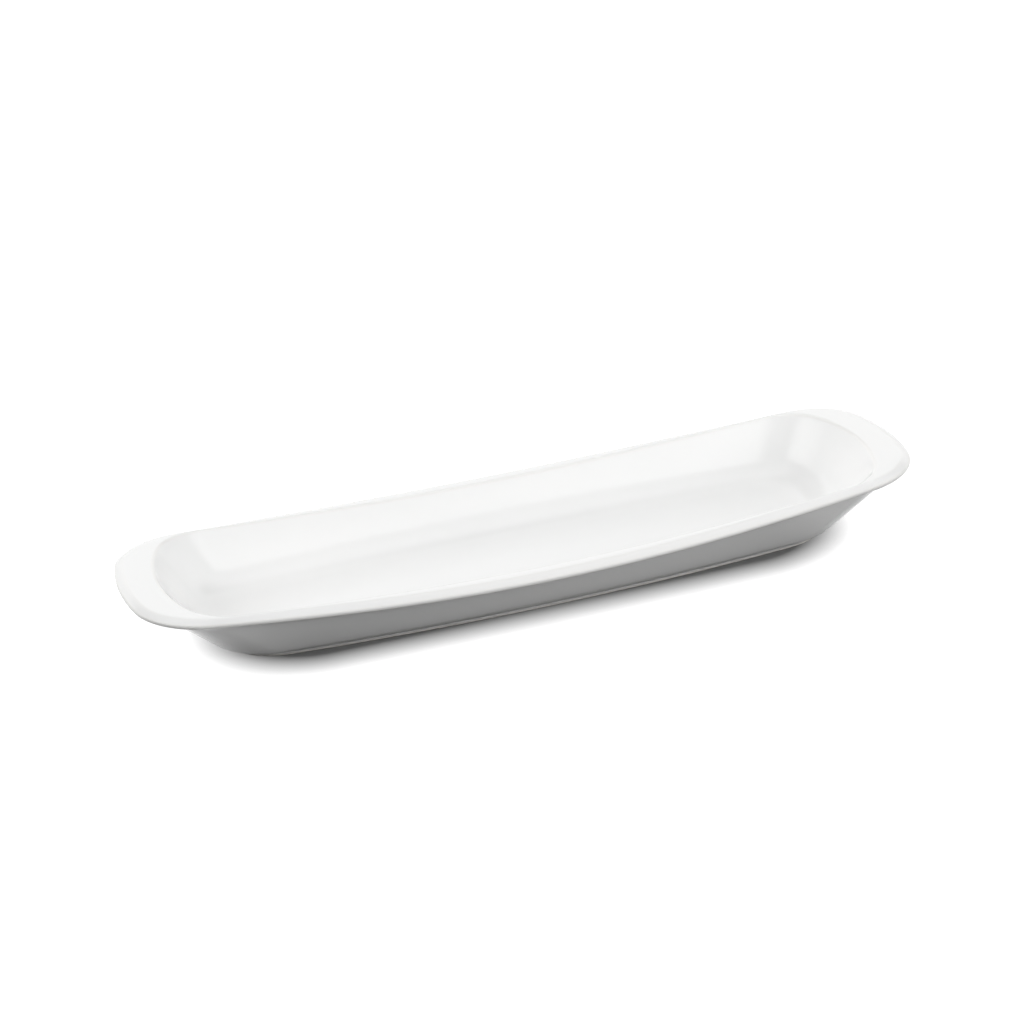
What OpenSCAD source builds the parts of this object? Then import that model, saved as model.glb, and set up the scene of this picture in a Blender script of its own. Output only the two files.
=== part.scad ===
// Asparagus plate: a long boat-shaped serving dish of glazed porcelain.
// The rim swings up towards both ends and widens there into two lips to lift it by.
// Millimetres, Z up. The length runs along X, and the foot ring stands on Z = 0.
// Every level of the plate is an oval of three kinds of arc: bowed sides, bowed ends, round corners.

/* [Rim] */
// Length over both end lips
plate_length = 380; // [340:1:420]
// Width over both side flanges
plate_width = 125; // [115:1:140]
// How far the sides bow out over the length
rim_side_bow = 14.4; // [11:0.1:17]
// How far the ends bow out over the width
rim_end_bow = 15.5; // [11:0.1:19]
// Corner radius of the rim
rim_corner_r = 34; // [28:0.5:40]
// Height of the middle of the edge, halfway along the sides
rim_height = 23.8; // [20:0.1:30]
// How much higher the edge is at the tips of the lips
rim_end_rise = 8.9; // [2:0.1:14]
// Thickness of the rounded edge
edge_thickness = 2.6; // [2:0.1:3.6]
// Width of the margin that rolls down to the edge, square to the rim
margin_w = 4.2; // [3.4:0.1:5]

/* [Well] */
// Width of the flange beside the well
side_flange_w = 10.3; // [9:0.1:13]
// Width of the lips beyond the well
end_lip_w = 17.5; // [15:0.1:24]
// How far the long edges of the well bow out
well_side_bow = 3.7; // [2:0.1:6]
// How far the short edges of the well bow out
well_end_bow = 15.5; // [11:0.1:18]
// Corner radius of the well's edge
well_corner_r = 25.5; // [22:0.1:28]
// Height of the well's edge over the middle of the rim's edge
ridge_height = 2.7; // [1.8:0.1:3]
// Length of the rounding on each side of the well's edge
ridge_round = 1.3; // [0.8:0.1:1.8]
// How far the long walls lean in from the edge to the floor
side_wall_run = 11; // [9:0.1:13]
// How far the end walls lean in from the edge to the floor
end_wall_run = 19; // [16:0.1:24]
// How far the long edges of the floor bow out
floor_side_bow = 5; // [3:0.1:8]
// How far the short edges of the floor bow out
floor_end_bow = 12; // [9:0.1:15]
// Corner radius of the floor
floor_corner_r = 22; // [20:0.5:24]
// How far the fillet of the floor climbs the walls
fillet_climb = 10; // [7:0.1:12]
// How far the fillet of the floor reaches in over the floor
fillet_reach = 14; // [10:0.1:16]
// Thickness of the floor
floor_thickness = 4.5; // [3.5:0.1:6]

/* [Outside] */
// Overhang of the flange past the long walls
side_overhang = 8.5; // [7:0.1:10]
// Overhang of the lips past the end walls
end_overhang = 11.7; // [10:0.1:15]
// How far the long walls bow out under the flange
wall_side_bow = 6.4; // [5:0.1:8]
// How far the end walls bow out under the lips
wall_end_bow = 8.6; // [6:0.1:11]
// Corner radius of the walls under the rim
wall_corner_r = 27; // [24:0.5:30]
// Depth of the flange's root under the middle of the edge
root_drop = 2.6; // [2:0.1:3.4]
// Length of the fillet on each side of the flange's root
root_round = 4; // [2:0.1:5]

/* [Foot] */
// Length over the foot ring
foot_length = 296; // [284:1:310]
// Width over the foot ring
foot_width = 82; // [80:0.5:86]
// How far the long sides of the foot bow out
foot_side_bow = 10.5; // [8:0.1:12]
// How far the short sides of the foot bow out
foot_end_bow = 10.5; // [9.5:0.1:13]
// Corner radius of the foot ring
foot_corner_r = 28; // [24:0.5:30]
// Height of the foot ring's outer face
foot_height = 2; // [1.6:0.1:3]
// Width of the foot ring
foot_ring_w = 4.5; // [3.5:0.1:6]
// Rounding of the standing face's edges
foot_round = 0.6; // [0.3:0.05:0.7]
// Depth of the hollow inside the foot ring
foot_recess = 2; // [1.6:0.1:2.6]
// Fillet of that hollow
recess_fillet = 3; // [2:0.1:4]
// How far the wall's heel stands out from the foot ring along the sides
heel_side_w = 3; // [1.5:0.1:4]
// How far the heel stands out from the foot ring at the ends
heel_end_w = 5; // [3:0.1:6.5]
// How far the heel lies above the top of the foot ring's face
heel_lift = 0.6; // [0.3:0.1:1]
// How far the heel's curve climbs the wall
heel_climb = 4; // [3:0.1:7]

/* [Glaze] */
// Thickness of the glaze
glaze_t = 0.35; // [0.25:0.01:0.5]
// Height of the bare clay above the table
bare_height = 0.9; // [0.8:0.05:1.2]

/* [Hidden] */
// Steps of the arcs in a quarter of an oval
end_steps = 4;
corner_steps = 6;
side_steps = 6;
// Steps of the curves in the section
fillet_steps = 6;
ridge_steps = 3;
margin_steps = 3;
bead_steps = 5;
root_steps = 3;
heel_steps = 4;
recess_steps = 3;
// The bead of the edge runs from this angle over the level to straight down
bead_start = 60;
bead_end = -90;
// Weight of the squared term in the rise of the rim
rise_share = 1.25;
// Width of the level bands round the floor and under it
level_w = 3;
// The most that a rounding may take of the face it ends
round_limit_share = 0.4;
// The most that the margin may take of the flange, and its turn of the margin
margin_limit_share = 0.7;
turn_limit_share = 0.7;

half_length = plate_length / 2;
half_width = plate_width / 2;
edge_r = edge_thickness / 2;
floor_z = foot_recess + floor_thickness;
// How far inside the bead the tangents of the margin meet
turn_w = (ridge_height - edge_r * sin(bead_start)) * tan(bead_start);

function direction(angle) = [cos(angle), sin(angle)];

function arc_radius(half_span, bow) = (half_span ^ 2 + bow ^ 2) / (2 * bow);

// Points of an arc from one angle up to, but without, another
function arc_points(centre, r, from, to, steps) =
    [for (k = [0 : steps - 1]) centre + r * direction(from + (to - from) * k / steps)];

// The oval's points in the first quadrant, from the X axis up to, but without, the Y axis.
// The corner's circle touches the side's and the end's circles from inside.
function quarter_oval(a, b, side_bow, end_bow, corner_r, inset) =
    let (side_r = arc_radius(a, side_bow),
         end_r = arc_radius(b, end_bow),
         side_c = [0, b - side_r],
         end_c = [a - end_r, 0],
         gap = norm(end_c - side_c),
         unit = (end_c - side_c) / gap,
         along = ((side_r - corner_r) ^ 2 - (end_r - corner_r) ^ 2 + gap ^ 2) / (2 * gap),
         across = sqrt((side_r - corner_r) ^ 2 - along ^ 2),
         corner_c = side_c + along * unit + across * [unit.y, -unit.x],
         end_angle = atan2(corner_c.y - end_c.y, corner_c.x - end_c.x),
         side_angle = atan2(corner_c.y - side_c.y, corner_c.x - side_c.x))
    concat(arc_points(end_c, end_r - inset, 0, end_angle, end_steps),
           arc_points(corner_c, corner_r - inset, end_angle, side_angle, corner_steps),
           arc_points(side_c, side_r - inset, side_angle, 90, side_steps));

// The whole oval, counter-clockwise from above, drawn in by an inset all round
function oval(a, b, side_bow, end_bow, corner_r, inset = 0) =
    let (q = quarter_oval(a, b, side_bow, end_bow, corner_r, inset),
         top = [0, b - inset],
         back = [for (k = [len(q) - 1 : -1 : 1]) [-q[k].x, q[k].y]])
    concat(q, [top], back, -q, [-top], -back);

function rim_plan(inset) =
    oval(half_length, half_width, rim_side_bow, rim_end_bow, rim_corner_r, inset);

function well_plan() =
    oval(half_length - end_lip_w, half_width - side_flange_w, well_side_bow, well_end_bow, well_corner_r);

function floor_plan(inset) =
    oval(half_length - end_lip_w - end_wall_run, half_width - side_flange_w - side_wall_run,
         floor_side_bow, floor_end_bow, floor_corner_r, inset);

function wall_plan() =
    oval(half_length - end_overhang, half_width - side_overhang, wall_side_bow, wall_end_bow, wall_corner_r);

function foot_plan(inset) =
    oval(foot_length / 2, foot_width / 2, foot_side_bow, foot_end_bow, foot_corner_r, inset);

function heel_plan() =
    oval(foot_length / 2 + heel_end_w, foot_width / 2 + heel_side_w,
         foot_side_bow, foot_end_bow, foot_corner_r + heel_side_w);

// The rise of the rim above its middle, level at the middle and steeper towards the ends
function rim_rise(x) =
    let (u = x / half_length) rim_end_rise * (rise_share * u ^ 2 - (rise_share - 1) * u ^ 4);

// A ring at one height, and a ring that follows the rim's sweep
function level_ring(plan, z) = [for (p = plan) [p.x, p.y, z]];
function swept_ring(plan, above) = [for (p = plan) [p.x, p.y, rim_height + rim_rise(p.x) + above]];

// A ring moved some way towards another one, but no further than a share of the distance
function towards(ring, goal, reach, limit_share) =
    [for (i = [0 : len(ring) - 1])
        let (way = goal[i] - ring[i]) ring[i] + way * min(reach / norm(way), limit_share)];

// A ring moved towards another one by a share of the distance that each point has of its own
function part_way(ring, goal, shares) =
    [for (i = [0 : len(ring) - 1]) ring[i] + (goal[i] - ring[i]) * shares[i]];

// How far another ring lies inside a ring, measured square to the ring's line in plan
function widths_inside(ring, goal) =
    [for (i = [0 : len(ring) - 1])
        let (n = len(ring), way = ring[(i + 1) % n] - ring[(i + n - 1) % n])
        (goal[i] - ring[i]) * unit([-way.y, way.x, 0])];

// Rings of a curve that leaves the first ring and reaches the last one along lines to the middle one
function bend(first, middle, last, steps) =
    [for (k = [0 : steps])
        let (s = k / steps) (1 - s) ^ 2 * first + 2 * s * (1 - s) * middle + s ^ 2 * last];

// The edge's half-round bead
function bead_ring(angle) = swept_ring(rim_plan(edge_r * (1 - cos(angle))), edge_r * sin(angle));
bead_rings = [for (k = [0 : bead_steps]) bead_ring(bead_start + (bead_end - bead_start) * k / bead_steps)];

// The lines where the faces of the section would meet if nothing were rounded
ridge_line = swept_ring(well_plan(), ridge_height);
floor_line = level_ring(floor_plan(0), floor_z);
root_line = swept_ring(wall_plan(), -root_drop);
heel_line = level_ring(heel_plan(), foot_height + heel_lift);
foot_line = level_ring(foot_plan(0), foot_height);

// Flange: level from the well's edge to the crest, then rolled down to the bead.
// The shares divide its width, which narrows at the corners.
flange_w = widths_inside(bead_rings[0], ridge_line);
crest_shares = [for (w = flange_w) min(margin_w / w, margin_limit_share)];
turn_shares = [for (i = [0 : len(flange_w) - 1])
                  min(turn_w / flange_w[i], turn_limit_share * crest_shares[i])];
crest_ring = swept_ring(part_way(bead_rings[0], ridge_line, crest_shares), ridge_height);
turn_ring = swept_ring(part_way(bead_rings[0], ridge_line, turn_shares), ridge_height);
margin_rings = bend(crest_ring, turn_ring, bead_rings[0], margin_steps);

// Well: floor, fillet and walls, up to the rounded edge
floor_rings = [level_ring(floor_plan(fillet_reach + level_w), floor_z)];
fillet_rings = bend(level_ring(floor_plan(fillet_reach), floor_z), floor_line,
                    towards(floor_line, ridge_line, fillet_climb, 1 - round_limit_share), fillet_steps);
ridge_shares = [for (i = [0 : len(flange_w) - 1])
                   min(ridge_round / (flange_w[i] * (1 - crest_shares[i])), round_limit_share)];
ridge_rings = bend(towards(ridge_line, floor_line, ridge_round, round_limit_share), ridge_line,
                   part_way(ridge_line, crest_ring, ridge_shares), ridge_steps);

// Outside: underside of the flange, root fillet, wall and heel, down the foot ring's face
root_rings = bend(towards(root_line, bead_rings[bead_steps], root_round, 1 - round_limit_share), root_line,
                  towards(root_line, heel_line, root_round, round_limit_share), root_steps);
heel_rings = bend(towards(heel_line, root_line, heel_climb, round_limit_share), heel_line,
                  foot_line, heel_steps);
bare_line = level_ring(foot_plan(0), bare_height);

// Rings of a list without its last one, where the next list starts
function but_last(rings) = [for (k = [0 : len(rings) - 2]) rings[k]];

// The glazed face that shows, from the floor of the well over the rim to the foot
coat_rings = concat(floor_rings, fillet_rings, ridge_rings, but_last(margin_rings), bead_rings,
                    root_rings, heel_rings, [bare_line]);

// The glazed hollow inside the foot ring
hollow_line = level_ring(foot_plan(foot_ring_w), foot_recess);
hollow_edge = level_ring(foot_plan(foot_ring_w), bare_height);
base_rings = concat(
    [hollow_edge],
    bend(towards(hollow_line, hollow_edge, recess_fillet, 1 - round_limit_share), hollow_line,
         level_ring(foot_plan(foot_ring_w + recess_fillet), foot_recess), recess_steps),
    [level_ring(foot_plan(foot_ring_w + recess_fillet + level_w), foot_recess)]);

// The unglazed standing face, flush with the body under the glaze
standing_rings = [
    level_ring(foot_plan(glaze_t), foot_round),
    level_ring(foot_plan(glaze_t + foot_round), 0),
    level_ring(foot_plan(foot_ring_w - glaze_t - foot_round), 0),
    level_ring(foot_plan(foot_ring_w - glaze_t), foot_round)];

function unit(v) = v / norm(v);

// The outward normal of a sheet of rings at one of its points
function normal_at(rings, k, i) =
    let (n = len(rings[k]),
         round_way = rings[k][(i + 1) % n] - rings[k][(i + n - 1) % n],
         up_way = rings[min(k + 1, len(rings) - 1)][i] - rings[max(k - 1, 0)][i])
    unit(cross(up_way, round_way));

// The sheet under a coat of the glaze's thickness
function under_glaze(rings) =
    [for (k = [0 : len(rings) - 1])
        [for (i = [0 : len(rings[k]) - 1]) rings[k][i] - glaze_t * normal_at(rings, k, i)]];

body_coat_rings = under_glaze(coat_rings);
body_base_rings = under_glaze(base_rings);

// Triangles between neighbouring rings, and the flat faces that close the first and the last ring
function sheet_faces(ring_count, n, start = 0) =
    [for (k = [0 : ring_count - 2])
        for (i = [0 : n - 1])
            let (a = start + k * n + i, b = start + k * n + (i + 1) % n)
            each [[a, b, b + n], [a, b + n, a + n]]];
function first_face(n, start = 0) = [[for (i = [n - 1 : -1 : 0]) start + i]];
function last_face(n, start = 0) = [[for (i = [0 : n - 1]) start + i]];
function turned(faces) = [for (f = faces) [for (k = [len(f) - 1 : -1 : 0]) f[k]]];

function flat_list(rings) = [for (ring = rings) each ring];

// A solid between the flat ends of one run of rings
module closed_loft(rings) {
    n = len(rings[0]);
    m = len(rings);
    polyhedron(points = flat_list(rings),
               faces = concat(first_face(n), sheet_faces(m, n), last_face(n, (m - 1) * n)));
}

// A skin between an outer sheet, closed at its first ring, and the sheet under it
module skin_closed_first(outer, inner) {
    n = len(outer[0]);
    m = len(outer);
    polyhedron(points = concat(flat_list(outer), flat_list(inner)),
               faces = concat(first_face(n), sheet_faces(m, n),
                              [for (i = [0 : n - 1])
                                  let (a = (m - 1) * n + i, b = (m - 1) * n + (i + 1) % n)
                                  each [[a, b, b + m * n], [a, b + m * n, a + m * n]]],
                              turned(first_face(n, m * n)), turned(sheet_faces(m, n, m * n))));
}

// A skin between an outer sheet, closed at its last ring, and the sheet under it
module skin_closed_last(outer, inner) {
    n = len(outer[0]);
    m = len(outer);
    polyhedron(points = concat(flat_list(outer), flat_list(inner)),
               faces = concat(sheet_faces(m, n), last_face(n, (m - 1) * n),
                              [for (i = [0 : n - 1])
                                  let (a = m * n + i, b = m * n + (i + 1) % n)
                                  each [[a, b, b - m * n], [a, b - m * n, a - m * n]]],
                              turned(sheet_faces(m, n, m * n)), turned(last_face(n, (m + m - 1) * n))));
}

// The fired clay: floor, walls, rim, lips and foot ring in one casting
module porcelain_body() {
    color([0.90, 0.88, 0.84])
        closed_loft(concat(body_coat_rings, standing_rings, body_base_rings));
}

// The glaze over well, rim and outside, which ends just above the table
module glaze_coat() {
    color([0.95, 0.95, 0.94])
        skin_closed_first(coat_rings, body_coat_rings);
}

// The glaze under the floor, inside the foot ring
module base_glaze() {
    color([0.93, 0.93, 0.92])
        skin_closed_last(base_rings, body_base_rings);
}

porcelain_body();
glaze_coat();
base_glaze();
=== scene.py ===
# %% [markdown]
# # Asparagus plate
#
# A long serving dish of white glazed porcelain, boat-shaped, with a shallow well, a rim that swings up
# into two end lips, and a low foot ring. The imported model gives its three real layers: the fired clay,
# the glaze over everything that shows, and the glaze under the floor.
#
# We keep their places and sizes, and draw each layer again as a fine, smooth surface, because a glossy
# glaze shows every facet in its reflections. The box of the imported model is kept.

# %% Load the imported plate
from collections import namedtuple

import bpy
import numpy as np
from mathutils import Matrix, Vector


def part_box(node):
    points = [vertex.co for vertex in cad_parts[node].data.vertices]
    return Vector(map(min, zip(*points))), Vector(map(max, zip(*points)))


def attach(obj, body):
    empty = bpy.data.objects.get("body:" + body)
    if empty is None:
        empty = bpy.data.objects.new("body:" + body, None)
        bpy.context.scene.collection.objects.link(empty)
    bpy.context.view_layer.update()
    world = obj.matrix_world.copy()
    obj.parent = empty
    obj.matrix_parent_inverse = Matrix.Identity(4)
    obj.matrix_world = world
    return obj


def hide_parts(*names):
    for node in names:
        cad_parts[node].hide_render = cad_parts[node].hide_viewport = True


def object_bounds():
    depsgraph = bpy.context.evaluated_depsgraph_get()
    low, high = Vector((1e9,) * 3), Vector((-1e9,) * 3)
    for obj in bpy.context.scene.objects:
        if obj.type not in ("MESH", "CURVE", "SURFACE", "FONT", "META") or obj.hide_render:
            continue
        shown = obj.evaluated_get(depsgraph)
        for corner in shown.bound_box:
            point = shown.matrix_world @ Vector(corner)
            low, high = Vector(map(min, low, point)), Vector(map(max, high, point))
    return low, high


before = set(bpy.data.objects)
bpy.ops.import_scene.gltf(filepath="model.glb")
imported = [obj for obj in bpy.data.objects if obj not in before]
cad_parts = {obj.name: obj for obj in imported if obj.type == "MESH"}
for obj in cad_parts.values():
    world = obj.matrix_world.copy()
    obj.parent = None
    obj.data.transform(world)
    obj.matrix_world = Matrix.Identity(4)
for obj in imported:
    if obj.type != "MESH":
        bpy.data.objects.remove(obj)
CAD_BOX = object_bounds()
cad_low, cad_high = CAD_BOX
PLATE_LENGTH = cad_high.x - cad_low.x
PLATE_WIDTH = cad_high.y - cad_low.y
GLAZE_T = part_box("glaze_coat")[1].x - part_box("porcelain_body")[1].x
print(f"plate {PLATE_LENGTH:.4f} x {PLATE_WIDTH:.4f} m, glaze {GLAZE_T:.5f} m")
print(f"nodes {sorted(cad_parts)}")

# %% [markdown]
# ## The plan: an oval of three kinds of arc
#
# Seen from above, every level of the plate is the same kind of oval: long sides that bow out a little,
# ends that bow out more, and round corners that touch both. A mould maker draws it with a compass.
# A superellipse would be one formula, but its corners tighten where these stay round, so we use arcs.
# An inset moves all three arcs inwards alike, so two insets of one oval stay parallel.

# %% Ovals of arcs
MM = 0.001
Level = namedtuple("Level", "half_length half_width side_bow end_bow corner_r")
END_STEPS, CORNER_STEPS, SIDE_STEPS = 12, 26, 34
POINTS_ROUND = 4 * (END_STEPS + CORNER_STEPS + SIDE_STEPS)


def arc(centre, radius, start, end, steps):
    """Points of an arc: the centre plus the radius along each angle, from start up to but without end."""
    angle = start + (end - start) * np.arange(steps) / steps
    return centre + radius * np.column_stack([np.cos(angle), np.sin(angle)])


def oval(level, inset=0.0):
    """A closed oval, counter-clockwise from +X. An arc's radius follows from its half span and its bow:
    (span squared + bow squared) / (2 bow). The corner's centre lies where circles about the side's and
    the end's centres, smaller by the corner's radius, cross. One quarter is worked out and mirrored."""
    side_r = (level.half_length**2 + level.side_bow**2) / (2 * level.side_bow)
    end_r = (level.half_width**2 + level.end_bow**2) / (2 * level.end_bow)
    side_c = np.array([0.0, level.half_width - side_r])
    end_c = np.array([level.half_length - end_r, 0.0])
    gap = np.linalg.norm(end_c - side_c)
    unit = (end_c - side_c) / gap
    along = ((side_r - level.corner_r) ** 2 - (end_r - level.corner_r) ** 2 + gap**2) / (2 * gap)
    across = np.sqrt((side_r - level.corner_r) ** 2 - along**2)
    corner_c = side_c + along * unit + across * np.array([unit[1], -unit[0]])
    end_angle = np.arctan2(*(corner_c - end_c)[::-1])
    side_angle = np.arctan2(*(corner_c - side_c)[::-1])
    quarter = np.vstack([
        arc(end_c, end_r - inset, 0.0, end_angle, END_STEPS),
        arc(corner_c, level.corner_r - inset, end_angle, side_angle, CORNER_STEPS),
        arc(side_c, side_r - inset, side_angle, np.pi / 2, SIDE_STEPS)])
    top = np.array([[0.0, level.half_width - inset]])
    mirrored = quarter[:0:-1] * [-1, 1]
    return np.vstack([quarter, top, mirrored, -quarter, -top, -mirrored])


RIM = Level(PLATE_LENGTH / 2, PLATE_WIDTH / 2,
            side_bow=14.4 * MM, end_bow=15.5 * MM, corner_r=34 * MM)
print(f"rim oval: {len(oval(RIM))} points, reach {oval(RIM).max(0)} m")

# %% [markdown]
# ## The other levels
#
# Six ovals carry the whole form: the rim, the edge of the well, the floor, the walls under the rim, the
# heel of those walls, and the foot ring. On the bench these would be six templates. The well's edge lies
# a flange's width inside the rim, and the ends leave more room, which makes the two lips that the plate
# is lifted by. In the same way the heel stands out from the foot ring, and more so at the ends.

# %% The six templates
SIDE_FLANGE_W, END_LIP_W = 10.3 * MM, 17.5 * MM
SIDE_WALL_RUN, END_WALL_RUN = 11 * MM, 19 * MM
SIDE_OVERHANG, END_OVERHANG = 8.5 * MM, 11.7 * MM
FOOT_LENGTH, FOOT_WIDTH = 296 * MM, 82 * MM
HEEL_SIDE_W, HEEL_END_W = 3 * MM, 5 * MM

WELL = Level(RIM.half_length - END_LIP_W, RIM.half_width - SIDE_FLANGE_W,
             side_bow=3.7 * MM, end_bow=15.5 * MM, corner_r=25.5 * MM)
FLOOR = Level(WELL.half_length - END_WALL_RUN, WELL.half_width - SIDE_WALL_RUN,
              side_bow=5 * MM, end_bow=12 * MM, corner_r=22 * MM)
WALL = Level(RIM.half_length - END_OVERHANG, RIM.half_width - SIDE_OVERHANG,
             side_bow=6.4 * MM, end_bow=8.6 * MM, corner_r=27 * MM)
FOOT = Level(FOOT_LENGTH / 2, FOOT_WIDTH / 2,
             side_bow=10.5 * MM, end_bow=10.5 * MM, corner_r=28 * MM)
HEEL = Level(FOOT.half_length + HEEL_END_W, FOOT.half_width + HEEL_SIDE_W,
             FOOT.side_bow, FOOT.end_bow, FOOT.corner_r + HEEL_SIDE_W)
for name, level in (("well", WELL), ("floor", FLOOR), ("wall", WALL), ("heel", HEEL), ("foot", FOOT)):
    print(f"{name}: {2 * level.half_length:.4f} x {2 * level.half_width:.4f} m")

# %% [markdown]
# ## The sweep of the rim
#
# From the side the rim is a shallow boat: level in the middle, and rising towards both ends. A curve
# drawn by hand could give this line, but with a formula in the place along the length any ring can
# follow it.

# %% Level rings and swept rings
RIM_HEIGHT, RIM_END_RISE = 23.8 * MM, 8.9 * MM
RISE_SHARE = 1.25


def rise(x):
    """Height gained at a place along the length: a share of the squared place, less some of its fourth
    power."""
    u = x / RIM.half_length
    return RIM_END_RISE * (RISE_SHARE * u**2 - (RISE_SHARE - 1) * u**4)


def at_height(plan, z):
    """The plan as a level ring."""
    return np.column_stack([plan, np.full(len(plan), z)])


def on_sweep(plan, above):
    """The plan as a ring that follows the sweep of the rim, some way above the middle of its edge."""
    return np.column_stack([plan[:, :2], RIM_HEIGHT + rise(plan[:, 0]) + above])


tip_height = RIM_HEIGHT + rise(RIM.half_length)
print(f"rim: {RIM_HEIGHT:.4f} m at the middle, {tip_height:.4f} m at the tips")

# %% [markdown]
# ## Curves between rings
#
# Rings that follow the sweep, and level rings for floor and foot, are joined by short curves. Bevel
# modifiers could round the edges, but here the width of the faces changes all the way round, so each
# rounding is a curve of its own that never takes more than a share of its face.

# %% Moves and bends
def towards(ring, goal, reach, limit_share):
    """The ring moved towards a goal ring by a distance, or by a share of the way where that is less."""
    way = goal - ring
    share = np.minimum(reach / np.linalg.norm(way, axis=1), limit_share)
    return ring + way * share[:, None]


def part_way(ring, goal, share):
    """The ring moved towards a goal ring by a share of the way that each point has of its own."""
    return ring + (goal - ring) * share[:, None]


def widths_inside(ring, goal):
    """How far the goal ring lies inside a ring: the way to it, along the line square to the ring in
    plan."""
    round_way = np.roll(ring, -1, axis=0) - np.roll(ring, 1, axis=0)
    inward = np.column_stack([-round_way[:, 1], round_way[:, 0]])
    return ((goal - ring)[:, :2] * inward).sum(axis=1) / np.linalg.norm(inward, axis=1)


def bend(first, middle, last, steps):
    """Rings of a quadratic curve: it leaves the first ring and reaches the last one along lines to the
    middle one."""
    s = np.linspace(0.0, 1.0, steps + 1)[:, None, None]
    return (1 - s) ** 2 * first + 2 * s * (1 - s) * middle + s**2 * last


def between(first, last, steps):
    """Evenly spaced rings on the straight face between two rings, without those two."""
    s = (np.arange(1, steps) / steps)[:, None, None]
    return first + s * (last - first)


plan_widths = widths_inside(oval(RIM), oval(WELL))
print(f"the well's edge lies {plan_widths.min():.4f} to {plan_widths.max():.4f} m inside the rim")

# %% [markdown]
# ## The bead along the rim
#
# Sharp edges don't exist on this plate: glaze would run off them in the kiln, so every line is a curve.
# The rim ends in a half-round bead, which fingers touch first. A tube along the rim could be joined to
# the flange. A fan of ovals runs on from the flange without a seam: each is lower than the last, and they
# go out and then in again.

# %% The bead
EDGE_R = 1.3 * MM
BEAD_START_DEG, BEAD_END_DEG, BEAD_RINGS = 60, -90, 17


def bead(angle):
    """The rim's edge: a half circle about the sweep line, from above the margin to straight below."""
    return on_sweep(oval(RIM, EDGE_R * (1 - np.cos(angle))), EDGE_R * np.sin(angle))


bead_angles = np.radians(np.linspace(BEAD_START_DEG, BEAD_END_DEG, BEAD_RINGS))
bead_rings = np.array([bead(angle) for angle in bead_angles])
print(f"bead: {len(bead_rings)} rings, {2 * EDGE_R:.4f} m thick")

# %% [markdown]
# ## The flange and its margin
#
# From the bead the margin rolls up to a crest, and the flange runs level from there to a fine ridge, the
# edge of the well. The flange is wider at the lips than along the sides. So its width is measured square
# to the rim, point by point, and each curve takes a set width, but never more than a share of what is
# there. That way nothing folds at the corners.

# %% The flange and the margin
RIDGE_HEIGHT, RIDGE_ROUND = 2.69 * MM, 1.3 * MM
MARGIN_W, MARGIN_STEPS = 4.2 * MM, 8
MARGIN_LIMIT_SHARE, TURN_LIMIT_SHARE, ROUND_LIMIT_SHARE = 0.7, 0.7, 0.4

ridge_line = on_sweep(oval(WELL), RIDGE_HEIGHT)
flange_w = widths_inside(bead_rings[0], ridge_line)
turn_w = (RIDGE_HEIGHT - EDGE_R * np.sin(bead_angles[0])) * np.tan(bead_angles[0])
crest_share = np.minimum(MARGIN_W / flange_w, MARGIN_LIMIT_SHARE)
turn_share = np.minimum(turn_w / flange_w, TURN_LIMIT_SHARE * crest_share)
ridge_share = np.minimum(RIDGE_ROUND / (flange_w * (1 - crest_share)), ROUND_LIMIT_SHARE)
crest = on_sweep(part_way(bead_rings[0], ridge_line, crest_share), RIDGE_HEIGHT)
turn = on_sweep(part_way(bead_rings[0], ridge_line, turn_share), RIDGE_HEIGHT)
margin_rings = bend(crest, turn, bead_rings[0], MARGIN_STEPS)
print(f"flange inside the bead: {flange_w.min():.4f} to {flange_w.max():.4f} m wide")

# %% [markdown]
# ## The well
#
# A wide, soft fillet leads from the flat floor into leaning walls, and at the top a rounded ridge, which
# catches the light, turns them over into the flange. The whole inside is then one stack of rings, in
# order from the floor to the bead.

# %% The inside, from the floor to the bead
FOOT_RECESS, FLOOR_THICKNESS = 2 * MM, 4.5 * MM
FLOOR_Z = FOOT_RECESS + FLOOR_THICKNESS
FILLET_REACH, FILLET_CLIMB = 14 * MM, 10 * MM
FILLET_STEPS, INNER_WALL_STEPS, RIDGE_STEPS, FLANGE_STEPS = 16, 5, 8, 4

floor_line = at_height(oval(FLOOR), FLOOR_Z)
fillet_rings = bend(at_height(oval(FLOOR, FILLET_REACH), FLOOR_Z), floor_line,
                    towards(floor_line, ridge_line, FILLET_CLIMB, 1 - ROUND_LIMIT_SHARE), FILLET_STEPS)
ridge_rings = bend(towards(ridge_line, floor_line, RIDGE_ROUND, ROUND_LIMIT_SHARE), ridge_line,
                   part_way(ridge_line, crest, ridge_share), RIDGE_STEPS)
inside_rings = np.concatenate([
    fillet_rings, between(fillet_rings[-1], ridge_rings[0], INNER_WALL_STEPS),
    ridge_rings, between(ridge_rings[-1], crest, FLANGE_STEPS), margin_rings[:-1], bead_rings])
print(f"inside: {len(inside_rings)} rings, top at {inside_rings[..., 2].max():.4f} m")

# %% [markdown]
# ## The outside of the plate
#
# Under the flange a concave root leads into the wall, and the wall tucks in at its heel above the foot.
# The glaze stops a hair above the table, because a glazed foot would stick to the kiln shelf. Melted
# glaze draws back from that line and ends in a round lip, which we give the end of the skin.

# %% Rings of the underside, the wall and the foot's face
ROOT_DROP, ROOT_ROUND = 2.6 * MM, 4 * MM
HEEL_LIFT, HEEL_CLIMB = 0.6 * MM, 4 * MM
FOOT_HEIGHT, BARE_HEIGHT = 2 * MM, 0.9 * MM
GLAZE_END_SHARE = 0.9
GLAZE_END_IN = GLAZE_END_SHARE * GLAZE_T
UNDERSIDE_STEPS, ROOT_STEPS, OUTER_WALL_STEPS = 4, 8, 6
HEEL_STEPS, FOOT_FACE_STEPS, GLAZE_END_STEPS = 12, 3, 4


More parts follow.
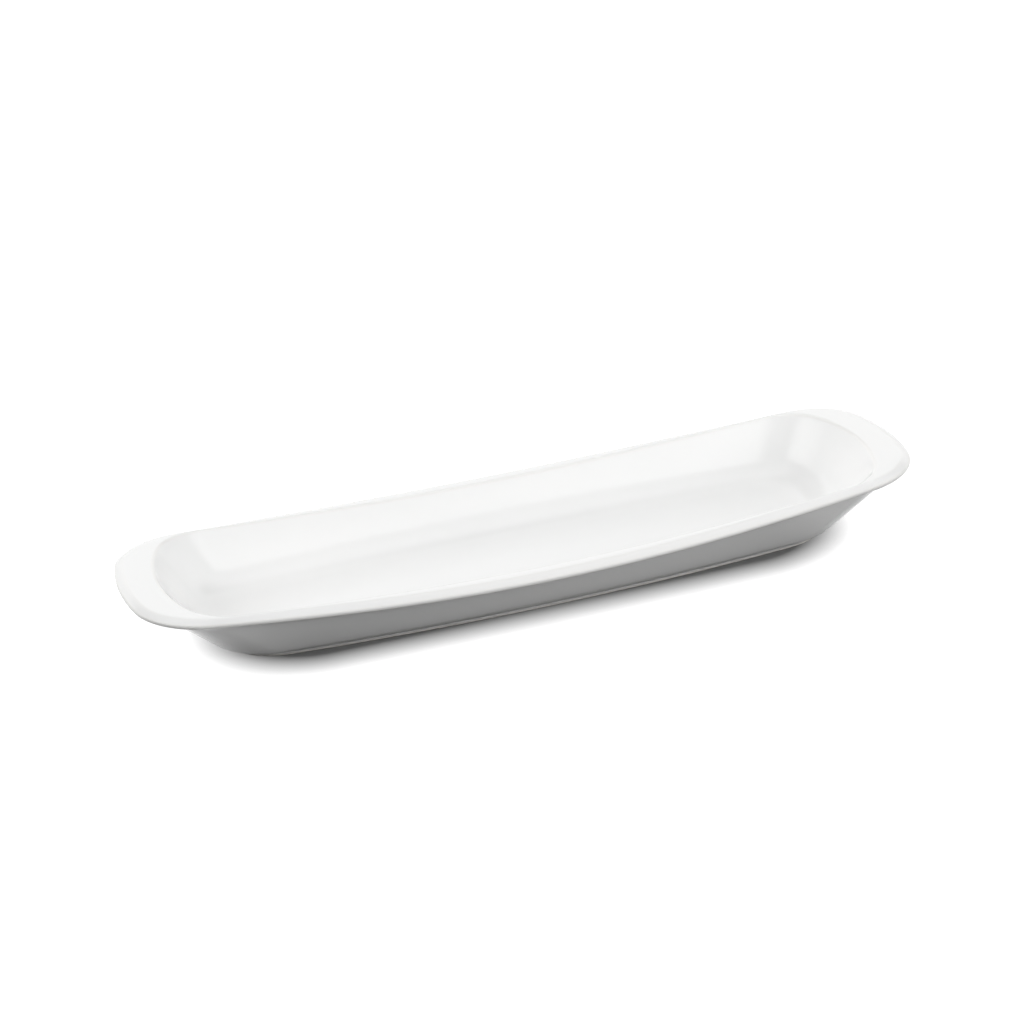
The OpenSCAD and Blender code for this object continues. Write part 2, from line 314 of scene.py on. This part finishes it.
def glaze_end(foot_inset, end_inset):
    """The last rings of a glaze: down its face to the bare line, and in towards the clay in a quarter
    round. With the same inset twice the face runs straight to the bare line."""
    face = oval(FOOT, foot_inset)
    return bend(at_height(face, BARE_HEIGHT + GLAZE_T), at_height(face, BARE_HEIGHT),
                at_height(oval(FOOT, end_inset), BARE_HEIGHT), GLAZE_END_STEPS)


root_line = on_sweep(oval(WALL), -ROOT_DROP)
heel_line = at_height(oval(HEEL), FOOT_HEIGHT + HEEL_LIFT)
foot_line = at_height(oval(FOOT), FOOT_HEIGHT)
root_rings = bend(towards(root_line, bead_rings[-1], ROOT_ROUND, 1 - ROUND_LIMIT_SHARE), root_line,
                  towards(root_line, heel_line, ROOT_ROUND, ROUND_LIMIT_SHARE), ROOT_STEPS)
heel_rings = bend(towards(heel_line, root_line, HEEL_CLIMB, ROUND_LIMIT_SHARE),
                  heel_line, foot_line, HEEL_STEPS)
coat_end = glaze_end(0.0, 0.0)
outside_rings = np.concatenate([
    between(bead_rings[-1], root_rings[0], UNDERSIDE_STEPS), root_rings,
    between(root_rings[-1], heel_rings[0], OUTER_WALL_STEPS), heel_rings,
    between(foot_line, coat_end[0], FOOT_FACE_STEPS), coat_end])
print(f"outside: {len(outside_rings)} rings, glaze ends at {outside_rings[-1, 0, 2]:.5f} m")

# %% [markdown]
# ## The hollow inside the foot ring
#
# Turned over, the plate shows a shallow glazed hollow, so that only a narrow ring of bare clay touches
# the table. Its glaze is a second skin. The standing face is rubbed flat after firing, with soft edges.

# %% Rings of the hollow and the standing face
FOOT_RING_W, FOOT_ROUND, RECESS_FILLET = 4.5 * MM, 0.6 * MM, 3 * MM
RECESS_STEPS, FOOT_CORNER_STEPS, STANDING_STEPS = 8, 5, 4

hollow_end = glaze_end(FOOT_RING_W, FOOT_RING_W)[::-1]
hollow_line = at_height(oval(FOOT, FOOT_RING_W), FOOT_RECESS)
recess_start = towards(hollow_line, hollow_end[0], RECESS_FILLET, 1 - ROUND_LIMIT_SHARE)
recess_end = at_height(oval(FOOT, FOOT_RING_W + RECESS_FILLET), FOOT_RECESS)
hollow_rings = np.concatenate([
    hollow_end, bend(recess_start, hollow_line, recess_end, RECESS_STEPS)])


def foot_corner(face_inset, level_inset):
    """The rounded corner between an upright face of the foot ring and its standing face."""
    face = oval(FOOT, face_inset)
    return bend(at_height(face, FOOT_ROUND), at_height(face, 0.0),
                at_height(oval(FOOT, level_inset), 0.0), FOOT_CORNER_STEPS)


clay_face, clay_back = GLAZE_T, FOOT_RING_W - GLAZE_T
outer_corner = foot_corner(clay_face, clay_face + FOOT_ROUND)
inner_corner = foot_corner(clay_back, clay_back - FOOT_ROUND)[::-1]
standing_rings = np.concatenate([
    outer_corner, between(outer_corner[-1], inner_corner[0], STANDING_STEPS), inner_corner])
print(f"hollow: {len(hollow_rings)} rings, standing face: {len(standing_rings)} rings")

# %% [markdown]
# ## The clay under the glaze
#
# The glaze is an even skin about a third of a millimetre thick, so the clay is the finished face moved
# inwards along its normals. A Solidify modifier could do this, but the clay and the skin are two separate
# pieces that share this face exactly, so we work it out once for both. Only then do the glazes get their
# round ends, which the clay doesn't follow.

# %% Normals and the clay
def normals(rings):
    """Outward unit normals at every point: the way up the section crossed with the way round the ring."""
    up_way = np.gradient(rings, axis=0)
    round_way = np.roll(rings, -1, axis=1) - np.roll(rings, 1, axis=1)
    n = np.cross(up_way, round_way)
    return n / np.linalg.norm(n, axis=2, keepdims=True)


def under_glaze(rings):
    """The face under a skin of the glaze's thickness."""
    return rings - GLAZE_T * normals(rings)


coat_rings = np.concatenate([inside_rings, outside_rings])
clay_top = under_glaze(coat_rings)
clay_base = under_glaze(hollow_rings)
coat_rings[-len(coat_end):] = glaze_end(0.0, GLAZE_END_IN)
hollow_rings[:len(hollow_end)] = glaze_end(FOOT_RING_W, FOOT_RING_W - GLAZE_END_IN)[::-1]
print(f"clay under the glazes: {clay_base[-1, 0, 2]:.5f} to {clay_top[..., 2].max():.5f} m high")

# %% [markdown]
# ## Where glaze pools, and where shade is painted under the heel
#
# Melted glaze runs from edges into hollows, and the finish will use this. The Geometry node's Pointiness
# could tell edges from hollows, but it changes with the fineness of the mesh. The bend of the section
# tells them apart for any mesh, from minus one on sharp edges to plus one in tight hollows. The finish
# will also use how deep a place lies in under the heel, to paint shade into the crease over the foot.

# %% Looks of the glaze
POOL_RADIUS = 8 * MM
POOL_SMOOTHING = np.array([0.25, 0.5, 0.25])
HEEL_REACH = 5 * MM


def pooling(rings):
    """How hollow the section is: its bend towards the outward normal, over itself plus that of the pool
    radius, so from -1 on edges to 1 in hollows. Each ring is then mixed with its two neighbours."""
    step = np.diff(rings, axis=0)
    length = np.linalg.norm(step, axis=2, keepdims=True)
    turns = np.diff(step / length, axis=0) / (0.5 * (length[1:] + length[:-1]))
    hollow = np.zeros(rings.shape[:2])
    hollow[1:-1] = (turns * normals(rings)[1:-1]).sum(axis=2)
    hollow = hollow / (np.abs(hollow) + 1 / POOL_RADIUS)
    neighbours = np.stack([hollow[:-2], hollow[1:-1], hollow[2:]], axis=2)
    hollow[1:-1] = (neighbours * POOL_SMOOTHING).sum(axis=2)
    return hollow


# Painted shade: this depth darkens the glaze in the crease over the foot, where shadow falls.
def heel_depth(rings):
    """How deep in under the heel, for the painted shade there: one at the foot line and above it less, as
    a bell curve of the way to that line. The foot's own face, below the line, has none."""
    way = np.linalg.norm(rings - foot_line, axis=2)
    return np.exp(-(way / HEEL_REACH) ** 2) * (rings[:, :, 2] >= FOOT_HEIGHT)


def none(rings):
    """A look that a face doesn't have."""
    return np.zeros(rings.shape[:2])


coat_pool, base_pool = pooling(coat_rings), pooling(hollow_rings)
coat_heel_shade = np.concatenate([none(inside_rings), heel_depth(coat_rings[len(inside_rings):])])
print(f"pooling from {coat_pool.min():.2f} to {coat_pool.max():.2f}")

# %% [markdown]
# ## Closing a piece along its spine
#
# Each layer is one closed skin: a stack of rings, drawn in at both ends until it lies folded flat on the
# long axis. One pole in the middle would squeeze hundreds of slivers into a point and show in the gloss.
# A spine along the axis keeps the floor's faces broad. Mirrored points of the folded ring are one vertex.

# %% From rings to a mesh
CM = 0.01
SPINE_SHARE, SPINE_STEPS = 0.8, 8
HALF_ROUND = POINTS_ROUND // 2 + 1
COLUMN = np.arange(POINTS_ROUND)
SPINE_COLUMN = np.minimum(COLUMN, POINTS_ROUND - COLUMN)


def from_spine(ring):
    """Flat rings from the spine, a share of the ring's own reach along the axis, out to just before the
    ring."""
    spine = ring * [SPINE_SHARE, 0.0, 1.0]
    return np.concatenate([spine[None], between(spine, ring, SPINE_STEPS)])


def closed_loft(name, rings, **looks):
    """A closed piece from a stack of rings whose first and last ones are folded flat: quads join each
    ring's neighbouring points to the next ring's. Its volume is a sixth of the sum of the corners' triple
    products. Each look is a value at every point that a finish reads."""
    inner = np.arange((len(rings) - 2) * POINTS_ROUND).reshape(-1, POINTS_ROUND) + HALF_ROUND
    last = HALF_ROUND + inner.size + SPINE_COLUMN
    index = np.concatenate([SPINE_COLUMN[None], inner, last[None]])
    beside = np.roll(index, -1, axis=1)
    quads = np.stack([index[:-1], index[1:], beside[1:], beside[:-1]], axis=2).reshape(-1, 4)
    first_use = np.unique(index, return_index=True)[1]
    points = rings.reshape(-1, 3)[first_use]
    mesh = bpy.data.meshes.new(name)
    mesh.from_pydata(points, [], quads)
    for look_name, values in looks.items():
        attribute = mesh.attributes.new(look_name, "FLOAT", "POINT")
        attribute.data.foreach_set("value", values.ravel()[first_use])
    mesh.shade_smooth()
    piece = bpy.data.objects.new(name, mesh)
    bpy.context.scene.collection.objects.link(piece)
    a, b, c, d = points[quads].transpose(1, 0, 2)
    volume = (np.cross(a, b) * c + np.cross(a, c) * d).sum() / 6
    print(f"{name}: {len(points)} points, {2 * len(quads)} triangles, {volume / CM**3:.2f} cm3")
    return piece


print(f"spine of {HALF_ROUND} points, {SPINE_SHARE:.0%} of the ring around it")

# %% [markdown]
# ## The glaze over everything that shows
#
# On the real plate this is a coat of glass, melted on in a second firing. An open sheet would look the
# same, but a closed piece has a volume and can be cut through. It runs from the spine of the floor over
# the rim to the foot, turns round its lip, and comes back along the clay to the spine.

# %% The glaze coat
floor_rings = from_spine(coat_rings[0])
clay_floor = from_spine(clay_top[0])
glaze_coat = closed_loft(
    "glaze_skin",
    np.concatenate([floor_rings, coat_rings, clay_top[::-1], clay_floor[::-1]]),
    glaze_pool=np.concatenate([none(floor_rings), coat_pool, coat_pool[::-1], none(clay_floor)]),
    heel_depth=np.concatenate([none(floor_rings), coat_heel_shade, coat_heel_shade[::-1], none(clay_floor)]))

# %% [markdown]
# ## The glaze under the floor
#
# The same loft from the other side: along the clay from its spine to the foot ring, round the lip of the
# glaze, and back over the face that shows when the plate is turned over.

# %% The base glaze
base_floor = from_spine(hollow_rings[-1])
clay_base_floor = from_spine(clay_base[-1])
base_glaze = closed_loft(
    "base_glaze_skin",
    np.concatenate([clay_base_floor, clay_base[::-1], hollow_rings, base_floor[::-1]]),
    glaze_pool=np.concatenate([none(clay_base_floor), base_pool[::-1], base_pool, none(base_floor)]))

# %% [markdown]
# ## The fired clay
#
# Floor, walls, rim, lips and foot ring are one casting. Only the standing face of the foot ring shows,
# but the piece is whole, and its faces are the inner faces of the two glazes.

# %% The porcelain body
clay_rings = np.concatenate([
    clay_floor, clay_top, standing_rings, clay_base, clay_base_floor[::-1]])
porcelain_body = closed_loft("fired_clay", clay_rings)

# %% [markdown]
# ## Nodes in a few words
#
# A finish is a small graph of nodes. The first helper adds one node and feeds its sockets: a plain value
# is written on the socket, and another node's output is linked to it. Patterns read Object coordinates,
# which are metres on the plate, so that a scale says how many waves there are in a metre.

# %% Helpers for nodes
WHOLE = (0.0, 1.0)
Noise = namedtuple("Noise", "waves detail roughness", defaults=[0.5])


def add(tree, kind, settings=(), *in_order, **by_name):
    """One shader node with its settings, its sockets fed in their order or by their names."""
    node = tree.nodes.new("ShaderNode" + kind)
    for name, value in dict(settings).items():
        setattr(node, name, value)
    named = {name.replace("_", " "): value for name, value in by_name.items()}
    for socket, value in (dict(enumerate(in_order)) | named).items():
        if isinstance(value, bpy.types.NodeSocket):
            tree.links.new(value, node.inputs[socket])
        else:
            node.inputs[socket].default_value = value
    return node


def number(tree, operation, *values):
    """A number worked out from others."""
    return add(tree, "Math", {"operation": operation}, *values).outputs["Value"]


def vector(tree, operation, *values):
    """A vector worked out from others."""
    return add(tree, "VectorMath", {"operation": operation}, *values).outputs["Vector"]


def mapped(tree, value, span=WHOLE, onto=WHOLE):
    """A value carried over in a straight line from one span onto another, and held at its ends."""
    return add(tree, "MapRange", Value=value, From_Min=span[0], From_Max=span[1],
               To_Min=onto[0], To_Max=onto[1]).outputs["Result"]


def noise(tree, pattern):
    """Soft noise from 0 to 1 on the plate's own coordinates."""
    place = add(tree, "TexCoord").outputs["Object"]
    return add(tree, "TexNoise", Vector=place, Scale=pattern.waves, Detail=pattern.detail,
               Roughness=pattern.roughness).outputs["Fac"]


def look(tree, name):
    """A value that a piece holds at its points."""
    return add(tree, "Attribute", {"attribute_name": name}).outputs["Fac"]


print("node helpers ready")

# %% [markdown]
# ## Colours and finishes
#
# A finish needs a colour, a roughness and a relief. Colours come from a ramp over noise, and further
# tones are mixed in where a look asks for them. What varies over the surface is linked to the shader.

# %% Helpers for finishes
# A Mix node's colour sockets go by number here, because its sockets for numbers have the same names.
MIX_FIRST, MIX_SECOND, MIX_RESULT = 6, 7, 2


def new_finish(name):
    """A material with its node tree and its shader."""
    material = bpy.data.materials.new(name)
    material.use_nodes = True
    return material, material.node_tree, material.node_tree.nodes["Principled BSDF"]


def ramp(tree, factor, stops):
    """A colour ramp: each stop is a place from 0 to 1 and a colour."""
    node = add(tree, "ValToRGB", Fac=factor)
    while len(node.color_ramp.elements) < len(stops):
        node.color_ramp.elements.new(1.0)
    for element, (place, colour) in zip(node.color_ramp.elements, stops):
        element.position = place
        element.color = (*colour, 1.0)
    return node.outputs["Color"]


def mixed(tree, factor, first, second):
    """Two colours mixed by a factor that varies over the surface."""
    node = add(tree, "Mix", {"data_type": "RGBA"}, Factor=factor)
    tree.links.new(first, node.inputs[MIX_FIRST])
    node.inputs[MIX_SECOND].default_value = (*second, 1.0)
    return node.outputs[MIX_RESULT]


def relief(tree, pattern, height, **under):
    """A bump as high as given, on top of another one where that is handed in as its Normal."""
    return add(tree, "Bump", Height=pattern, Distance=height, **under).outputs["Normal"]


def dress(tree, shader, tone, rough, normal):
    """Links a finish to its shader."""
    for socket, output in (("Base Color", tone), ("Roughness", rough), ("Normal", normal)):
        tree.links.new(output, shader.inputs[socket])


print("finish helpers ready")

# %% [markdown]
# ## White glaze
#
# Clear gloss glaze over white porcelain looks white, but it isn't one flat white. Its tone drifts softly
# over the plate. It pools in the root under the flange and in tight hollows, where it looks a little
# deeper and cooler. There the tone is also darkened as painted shade, most in the root, where the flange
# shades the wall. It draws thin on the bead and the ridge, where the warmer clay shines through.
# Its surface is fire-polished, yet never quite flat: long soft waves and a fine orange peel bend the
# reflections a little. Wear is faint here: a softer gloss on the edges that hands touch. Deep under the
# heel the tone is darkened as painted shade, where the shadow over the foot falls, and the gloss is
# dulled there too.
#
# A painted picture could hold all this. Noise and the looks of the piece need none and stay fine up
# close.

# %% The white glaze finish
DRIFT, RIPPLE, PEEL = Noise(9.0, 2.0), Noise(60.0, 1.0), Noise(380.0, 2.0)
RIPPLE_HEIGHT, PEEL_HEIGHT = 0.05 * MM, 0.003 * MM
GLAZE_COOL, GLAZE_WHITE = (0.862, 0.866, 0.862), (0.892, 0.892, 0.886)
DRIFT_STOPS = ((0.3, GLAZE_COOL), (0.7, GLAZE_WHITE))
# Pooled glaze and painted shade: the pooled tone is darker than pooling alone gives, and stands in for the
# shade in the root under the flange.
POOLED_GLAZE_AND_SHADE_TONE, POOLED_SPAN, POOLED_AND_SHADE_SHARE = (0.66, 0.68, 0.68), (0.4, 0.9), (0.0, 0.7)
# Painted shade: the heel tone darkens the glaze deep under the heel, where the shadow over the foot falls.
HEEL_PAINTED_SHADE, HEEL_SHADE_SHARE = (0.35, 0.35, 0.34), (0.0, 0.8)
THIN_TONE, THIN_SPAN, THIN_SHARE = (0.90, 0.89, 0.865), (-0.2, -0.9), (0.0, 0.6)
PEEL_SPAN, GLOSS_ROUGH = (0.3, 0.7), (0.05, 0.09)
WORN_SPAN, WORN_ROUGH = (-0.3, -0.9), (0.0, 0.05)
DUST_ROUGH = (0.0, 0.6)
GLAZE_IOR = 1.5


def white_glaze():
    """Tone from the drift, from pooling with painted shade in the root, from thinning, and from painted
    shade under the heel. Roughness from the peel, and more on worn edges and deep under the heel. Relief
    on two scales, the waves and the peel."""
    material, tree, shader = new_finish("white_glaze")
    drift, ripple, peel = (noise(tree, pattern) for pattern in (DRIFT, RIPPLE, PEEL))
    pool, heel = look(tree, "glaze_pool"), look(tree, "heel_depth")
    tone = ramp(tree, drift, DRIFT_STOPS)
    # Pooled glaze, and painted shade in the root under the flange.
    tone = mixed(tree, mapped(tree, pool, POOLED_SPAN, POOLED_AND_SHADE_SHARE), tone, POOLED_GLAZE_AND_SHADE_TONE)
    # Painted shade in the crease over the foot.
    tone = mixed(tree, mapped(tree, heel, WHOLE, HEEL_SHADE_SHARE), tone, HEEL_PAINTED_SHADE)
    tone = mixed(tree, mapped(tree, pool, THIN_SPAN, THIN_SHARE), tone, THIN_TONE)
    rough = mapped(tree, peel, PEEL_SPAN, GLOSS_ROUGH)
    rough = number(tree, "ADD", rough, mapped(tree, pool, WORN_SPAN, WORN_ROUGH))
    rough = number(tree, "ADD", rough, mapped(tree, heel, WHOLE, DUST_ROUGH))
    waves = relief(tree, ripple, RIPPLE_HEIGHT)
    dress(tree, shader, tone, rough, relief(tree, peel, PEEL_HEIGHT, Normal=waves))
    shader.inputs["IOR"].default_value = GLAZE_IOR
    return material


glaze_finish = white_glaze()
for piece in (glaze_coat, base_glaze):
    piece.data.materials.append(glaze_finish)
print(f"white glaze: {len(glaze_finish.node_tree.nodes)} nodes")

# %% [markdown]
# ## Bare porcelain
#
# The unglazed ring is fine-grained and matt, a little warmer than the glaze, and rubbed smooth after the
# firing. Standing on tables leaves faint grey marks on it. Noise at grain size gives the tooth, and
# broader patches give the rubbed places.

# %% The bare clay finish
PATCHES, GRAIN = Noise(45.0, 5.0, 0.65), Noise(1600.0, 3.0)
GRAIN_HEIGHT = 0.012 * MM
CLAY_RUBBED, CLAY_PALE, CLAY_WARM = (0.70, 0.69, 0.66), (0.84, 0.82, 0.775), (0.87, 0.85, 0.80)
CLAY_STOPS = ((0.28, CLAY_RUBBED), (0.42, CLAY_PALE), (0.7, CLAY_WARM))
PATCH_SPAN, CLAY_ROUGH = (0.3, 0.6), (0.55, 0.85)


def bare_clay():
    """Tone and roughness from the patches, and relief from the grain."""
    material, tree, shader = new_finish("porcelain_biscuit")
    patches, grain = noise(tree, PATCHES), noise(tree, GRAIN)
    dress(tree, shader, ramp(tree, patches, CLAY_STOPS), mapped(tree, patches, PATCH_SPAN, CLAY_ROUGH),
          relief(tree, grain, GRAIN_HEIGHT))
    return material


clay_finish = bare_clay()
porcelain_body.data.materials.append(clay_finish)
print(f"bare clay: {len(clay_finish.node_tree.nodes)} nodes")

# %% [markdown]
# ## Tie the pieces to the imported model
#
# Nothing on a plate moves by itself, so all three pieces ride on the one body. Each stands for the node
# that it was drawn from, which is hidden.

# %% Bodies, nodes and slots
for piece, node, slot in (
        (glaze_coat, "glaze_coat", "white_glaze"),
        (base_glaze, "base_glaze", "white_glaze"),
        (porcelain_body, "porcelain_body", "porcelain_biscuit")):
    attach(piece, "root")
    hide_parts(node)
    print(f"{piece.name} stands for {node}")

# %% [markdown]
# ## A pale floor
#
# The plate stands on a white sweep. To the eye, and in reflections, the floor glows white all round. Under
# the overhanging rim the glow is held back, so the floor is plain there and keeps the real shadow, and the
# missing glow paints a further shade around the foot. As a source of bounced light it is dull, as if the
# table around the plate were dark, because otherwise the outside wall would lose its grey. Light Path
# tells the two cases apart. How far a place lies outside the foot is told by its distance from a narrow
# oblong in the middle of the plate's footprint.

# %% The floor's finish
FLOOR_PALE, FLOOR_GLOW, FLOOR_DULL = 0.3, 1.0, 0.16
OBLONG_HALF = (104 * MM, 3 * MM, 0.0)
# Painted shade: the floor has no glow near the oblong, which darkens it around the foot beyond its real
# shadow.
GLOW_START, GLOW_FULL = 37 * MM, 59 * MM


def grey(value):
    """A neutral colour."""
    return (value, value, value, 1.0)


def seen_directly(tree):
    """One for rays from the camera, or by way of a reflection or a clear body, and zero for bounced
    light."""
    path = add(tree, "LightPath").outputs
    mirrored = number(tree, "MAXIMUM", path["Is Glossy Ray"], path["Is Transmission Ray"])
    return number(tree, "MAXIMUM", path["Is Camera Ray"], mirrored)


def outside_foot(tree):
    """From zero at the foot to the full glow outside it, so that near the foot the floor shows painted
    shade as well as its real shadow. The distance from the oblong is the length of what the place, without
    its signs, has over the oblong's half sizes."""
    place = vector(tree, "ABSOLUTE", add(tree, "TexCoord").outputs["Object"])
    over = vector(tree, "MAXIMUM", vector(tree, "SUBTRACT", place, OBLONG_HALF), (0, 0, 0))
    reach = add(tree, "VectorMath", {"operation": "LENGTH"}, over).outputs["Value"]
    return mapped(tree, reach, (GLOW_START, GLOW_FULL), (0.0, FLOOR_GLOW))


def white_floor():
    """White to the eye, with its real shadow and a painted shade near the foot, dull to bounced light."""
    material, tree, shader = new_finish("white_sweep")
    tree.nodes.remove(shader)
    pale = add(tree, "BsdfDiffuse", Color=grey(FLOOR_PALE)).outputs["BSDF"]
    glow = add(tree, "Emission", Color=grey(1.0), Strength=outside_foot(tree)).outputs["Emission"]
    dull = add(tree, "BsdfDiffuse", Color=grey(FLOOR_DULL)).outputs["BSDF"]
    white = add(tree, "AddShader", (), pale, glow).outputs["Shader"]
    choice = add(tree, "MixShader", (), seen_directly(tree), dull, white).outputs["Shader"]
    tree.links.new(choice, tree.nodes["Material Output"].inputs["Surface"])
    return material


sweep_finish = white_floor()
print(f"white sweep: {len(sweep_finish.node_tree.nodes)} nodes")

# %% [markdown]
# ## The sheet of the floor
#
# One flat square is enough, as long as its edges stay out of the picture. It belongs to the stage and not
# to the plate.

# %% The floor
FLOOR_HALF = 4.0
corners = FLOOR_HALF * np.array([[-1, -1, 0], [1, -1, 0], [1, 1, 0], [-1, 1, 0]])
floor_mesh = bpy.data.meshes.new("white_sweep")
floor_mesh.from_pydata(corners, [], [(0, 1, 2, 3)])
floor_mesh.materials.append(sweep_finish)
floor = bpy.data.objects.new("white_sweep", floor_mesh)
bpy.context.scene.collection.objects.link(floor)
print(f"floor {2 * FLOOR_HALF:.0f} m square")

# %% [markdown]
# ## Soft studio light
#
# Glossy white ware is lit with very large, dim softboxes that fade towards their edges, so that no
# highlight burns out and no edge of a lamp shows in the glaze. Those behind and on the left give the well
# its shape: the far wall and the left end keep their light from the floor beside them, which leaves a
# soft grey band there. The brightest stands low in front on the right. It lights the outside wall below
# the flange, whose shadow keeps the top of the wall dark. Only the boxes in front and on the left are let
# into the reflections, where they make soft bright fields on the walls of the well.
#
# A softbox's glow is its mean brightness in a mirror, where white paper is one. Its watts follow from
# that.

# %% Softboxes
Softbox = namedtuple("Softbox", "place facing width height glow mirrored")
SOFTBOXES = {
    "overhead": Softbox((0.0, 0.0, 1.5), (0, 0, -1), 3.2, 2.4, 0.76, False),
    "behind": Softbox((-0.4, 1.5, 0.85), (0, -1, 0), 3.0, 1.5, 1.3, False),
    "front": Softbox((0.9, -1.65, 1.1), (0, 1, 0), 2.6, 1.8, 0.88, True),
    "front_right": Softbox((1.3, -1.6, 0.7), (0, 1, 0), 1.2, 1.1, 3.0, False),
    "left": Softbox((-1.6, 0.0, 1.1), (1, 0, 0), 3.0, 1.4, 1.3, True),
    "right": Softbox((1.6, -0.3, 0.45), (-1, 0, 0), 2.4, 0.8, 0.8, False)}
FADE_SCALE = 6.0


def faded_edges(tree):
    """One on average over a softbox, more in its middle and nothing at its edges: the product of
    6 s (1 - s) along and across, where s runs from zero to one."""
    place = add(tree, "NewGeometry").outputs["Parametric"]
    product = vector(tree, "MULTIPLY", place, vector(tree, "SUBTRACT", (1, 1, 1), place))
    scaled = add(tree, "VectorMath", {"operation": "SCALE"}, product, Scale=FADE_SCALE)
    ways = add(tree, "SeparateXYZ", Vector=scaled.outputs["Vector"]).outputs
    return number(tree, "MULTIPLY", ways["X"], ways["Y"])


def hang(name, box):
    """A rectangular area lamp. Its watts are pi times its area times its glow."""
    lamp = bpy.data.lights.new(name, "AREA")
    lamp.shape = "RECTANGLE"
    lamp.size, lamp.size_y = box.width, box.height
    lamp.energy = np.pi * box.width * box.height * box.glow
    lamp.use_nodes = True
    tree = lamp.node_tree
    tree.links.new(faded_edges(tree), tree.nodes["Emission"].inputs["Strength"])
    holder = bpy.data.objects.new(name, lamp)
    holder.location = box.place
    holder.rotation_euler = Vector(box.facing).to_track_quat("-Z", "Y").to_euler()
    holder.visible_glossy = box.mirrored
    bpy.context.scene.collection.objects.link(holder)
    print(f"{name}: {lamp.energy:.1f} W at {box.place}")


for name, box in SOFTBOXES.items():
    hang(name, box)

# %% [markdown]
# ## The room in the glaze
#
# A gloss glaze is a mirror too, and what it mirrors is the room. This one is white to the eye, with a
# dark gap between the sweep behind the plate and the light overhead, which the fillet of the floor
# mirrors as a fine grey line. Walls and a ceiling could be built for this. A world does the same with a
# few nodes, and here it gives no light of its own.

# %% The room
GapEdge = namedtuple("GapEdge", "way start full")
GAP_EDGES = (GapEdge("Z", 0.45, 0.53), GapEdge("Z", 0.95, 0.75), GapEdge("Y", 0.0, 0.35))
GAP_LIGHT = 0.05


def dark_gap(tree):
    """One in the gap between the sweep behind the plate and the light overhead, and zero elsewhere: the
    product of three soft edges across the line of sight, each from its start to where it is full."""
    sight = add(tree, "SeparateXYZ", Vector=add(tree, "TexCoord").outputs["Generated"]).outputs
    low, high, back = (mapped(tree, sight[edge.way], (edge.start, edge.full)) for edge in GAP_EDGES)
    return number(tree, "MULTIPLY", number(tree, "MULTIPLY", low, high), back)


def white_room():
    """A world that is white to the eye and in reflections, dark in the gap, and gives no light of its
    own."""
    world = bpy.data.worlds.new("white_room")
    bpy.context.scene.world = world
    world.use_nodes = True
    tree = world.node_tree
    brightness = mapped(tree, dark_gap(tree), WHOLE, (1.0, GAP_LIGHT))
    strength = number(tree, "MULTIPLY", seen_directly(tree), brightness)
    tree.links.new(strength, tree.nodes["Background"].inputs["Strength"])
    tree.nodes["Background"].inputs["Color"].default_value = grey(1.0)
    return world


bpy.context.scene.view_settings.view_transform = "Standard"
print(f"{white_room().name}: {GAP_LIGHT:.0%} of white in the gap")

# %% [markdown]
# ## The camera
#
# The view comes from the front and a little from the left, with five degrees of roll: the picture leans,
# so that the plate rises to the right. A short lens close by would swell the near end. A long one from
# just over a metre keeps both ends alike.

# %% The camera
CAMERA_AZIMUTH, CAMERA_ELEVATION, CAMERA_ROLL = np.radians([-15.709, 23.833, -5.039])
CAMERA_TARGET = Vector((0.0022, 0.0205, 0.0224))
CAMERA_DISTANCE = 1.2319
CAMERA_LENS, CAMERA_SENSOR = 90.8, 36.0


def camera_axes():
    """Right, up and back: a turn about the vertical, a tilt, and a roll about the line of sight."""
    turn, tilt, roll = CAMERA_AZIMUTH, CAMERA_ELEVATION, CAMERA_ROLL
    back = Vector((np.sin(turn) * np.cos(tilt), -np.cos(turn) * np.cos(tilt), np.sin(tilt)))
    right = Vector((np.cos(turn), np.sin(turn), 0.0))
    up = back.cross(right)
    return right * np.cos(roll) + up * np.sin(roll), up * np.cos(roll) - right * np.sin(roll), back


right, up, back = camera_axes()
camera_data = bpy.data.cameras.new("camera")
camera_data.lens = CAMERA_LENS
camera_data.sensor_width = CAMERA_SENSOR
camera = bpy.data.objects.new("camera", camera_data)
turned = Matrix((right, up, back)).transposed().to_4x4()
camera.matrix_world = Matrix.Translation(CAMERA_TARGET + CAMERA_DISTANCE * back) @ turned
bpy.context.scene.collection.objects.link(camera)
bpy.context.scene.camera = camera
print(f"camera at {tuple(round(v, 3) for v in camera.location)}")

# %% [markdown]
# ## Sizes, and the end
#
# Looks must not change the size of the thing. At the end the view layer is brought up to date.

# %% Bring the view layer up to date
bpy.context.view_layer.update()
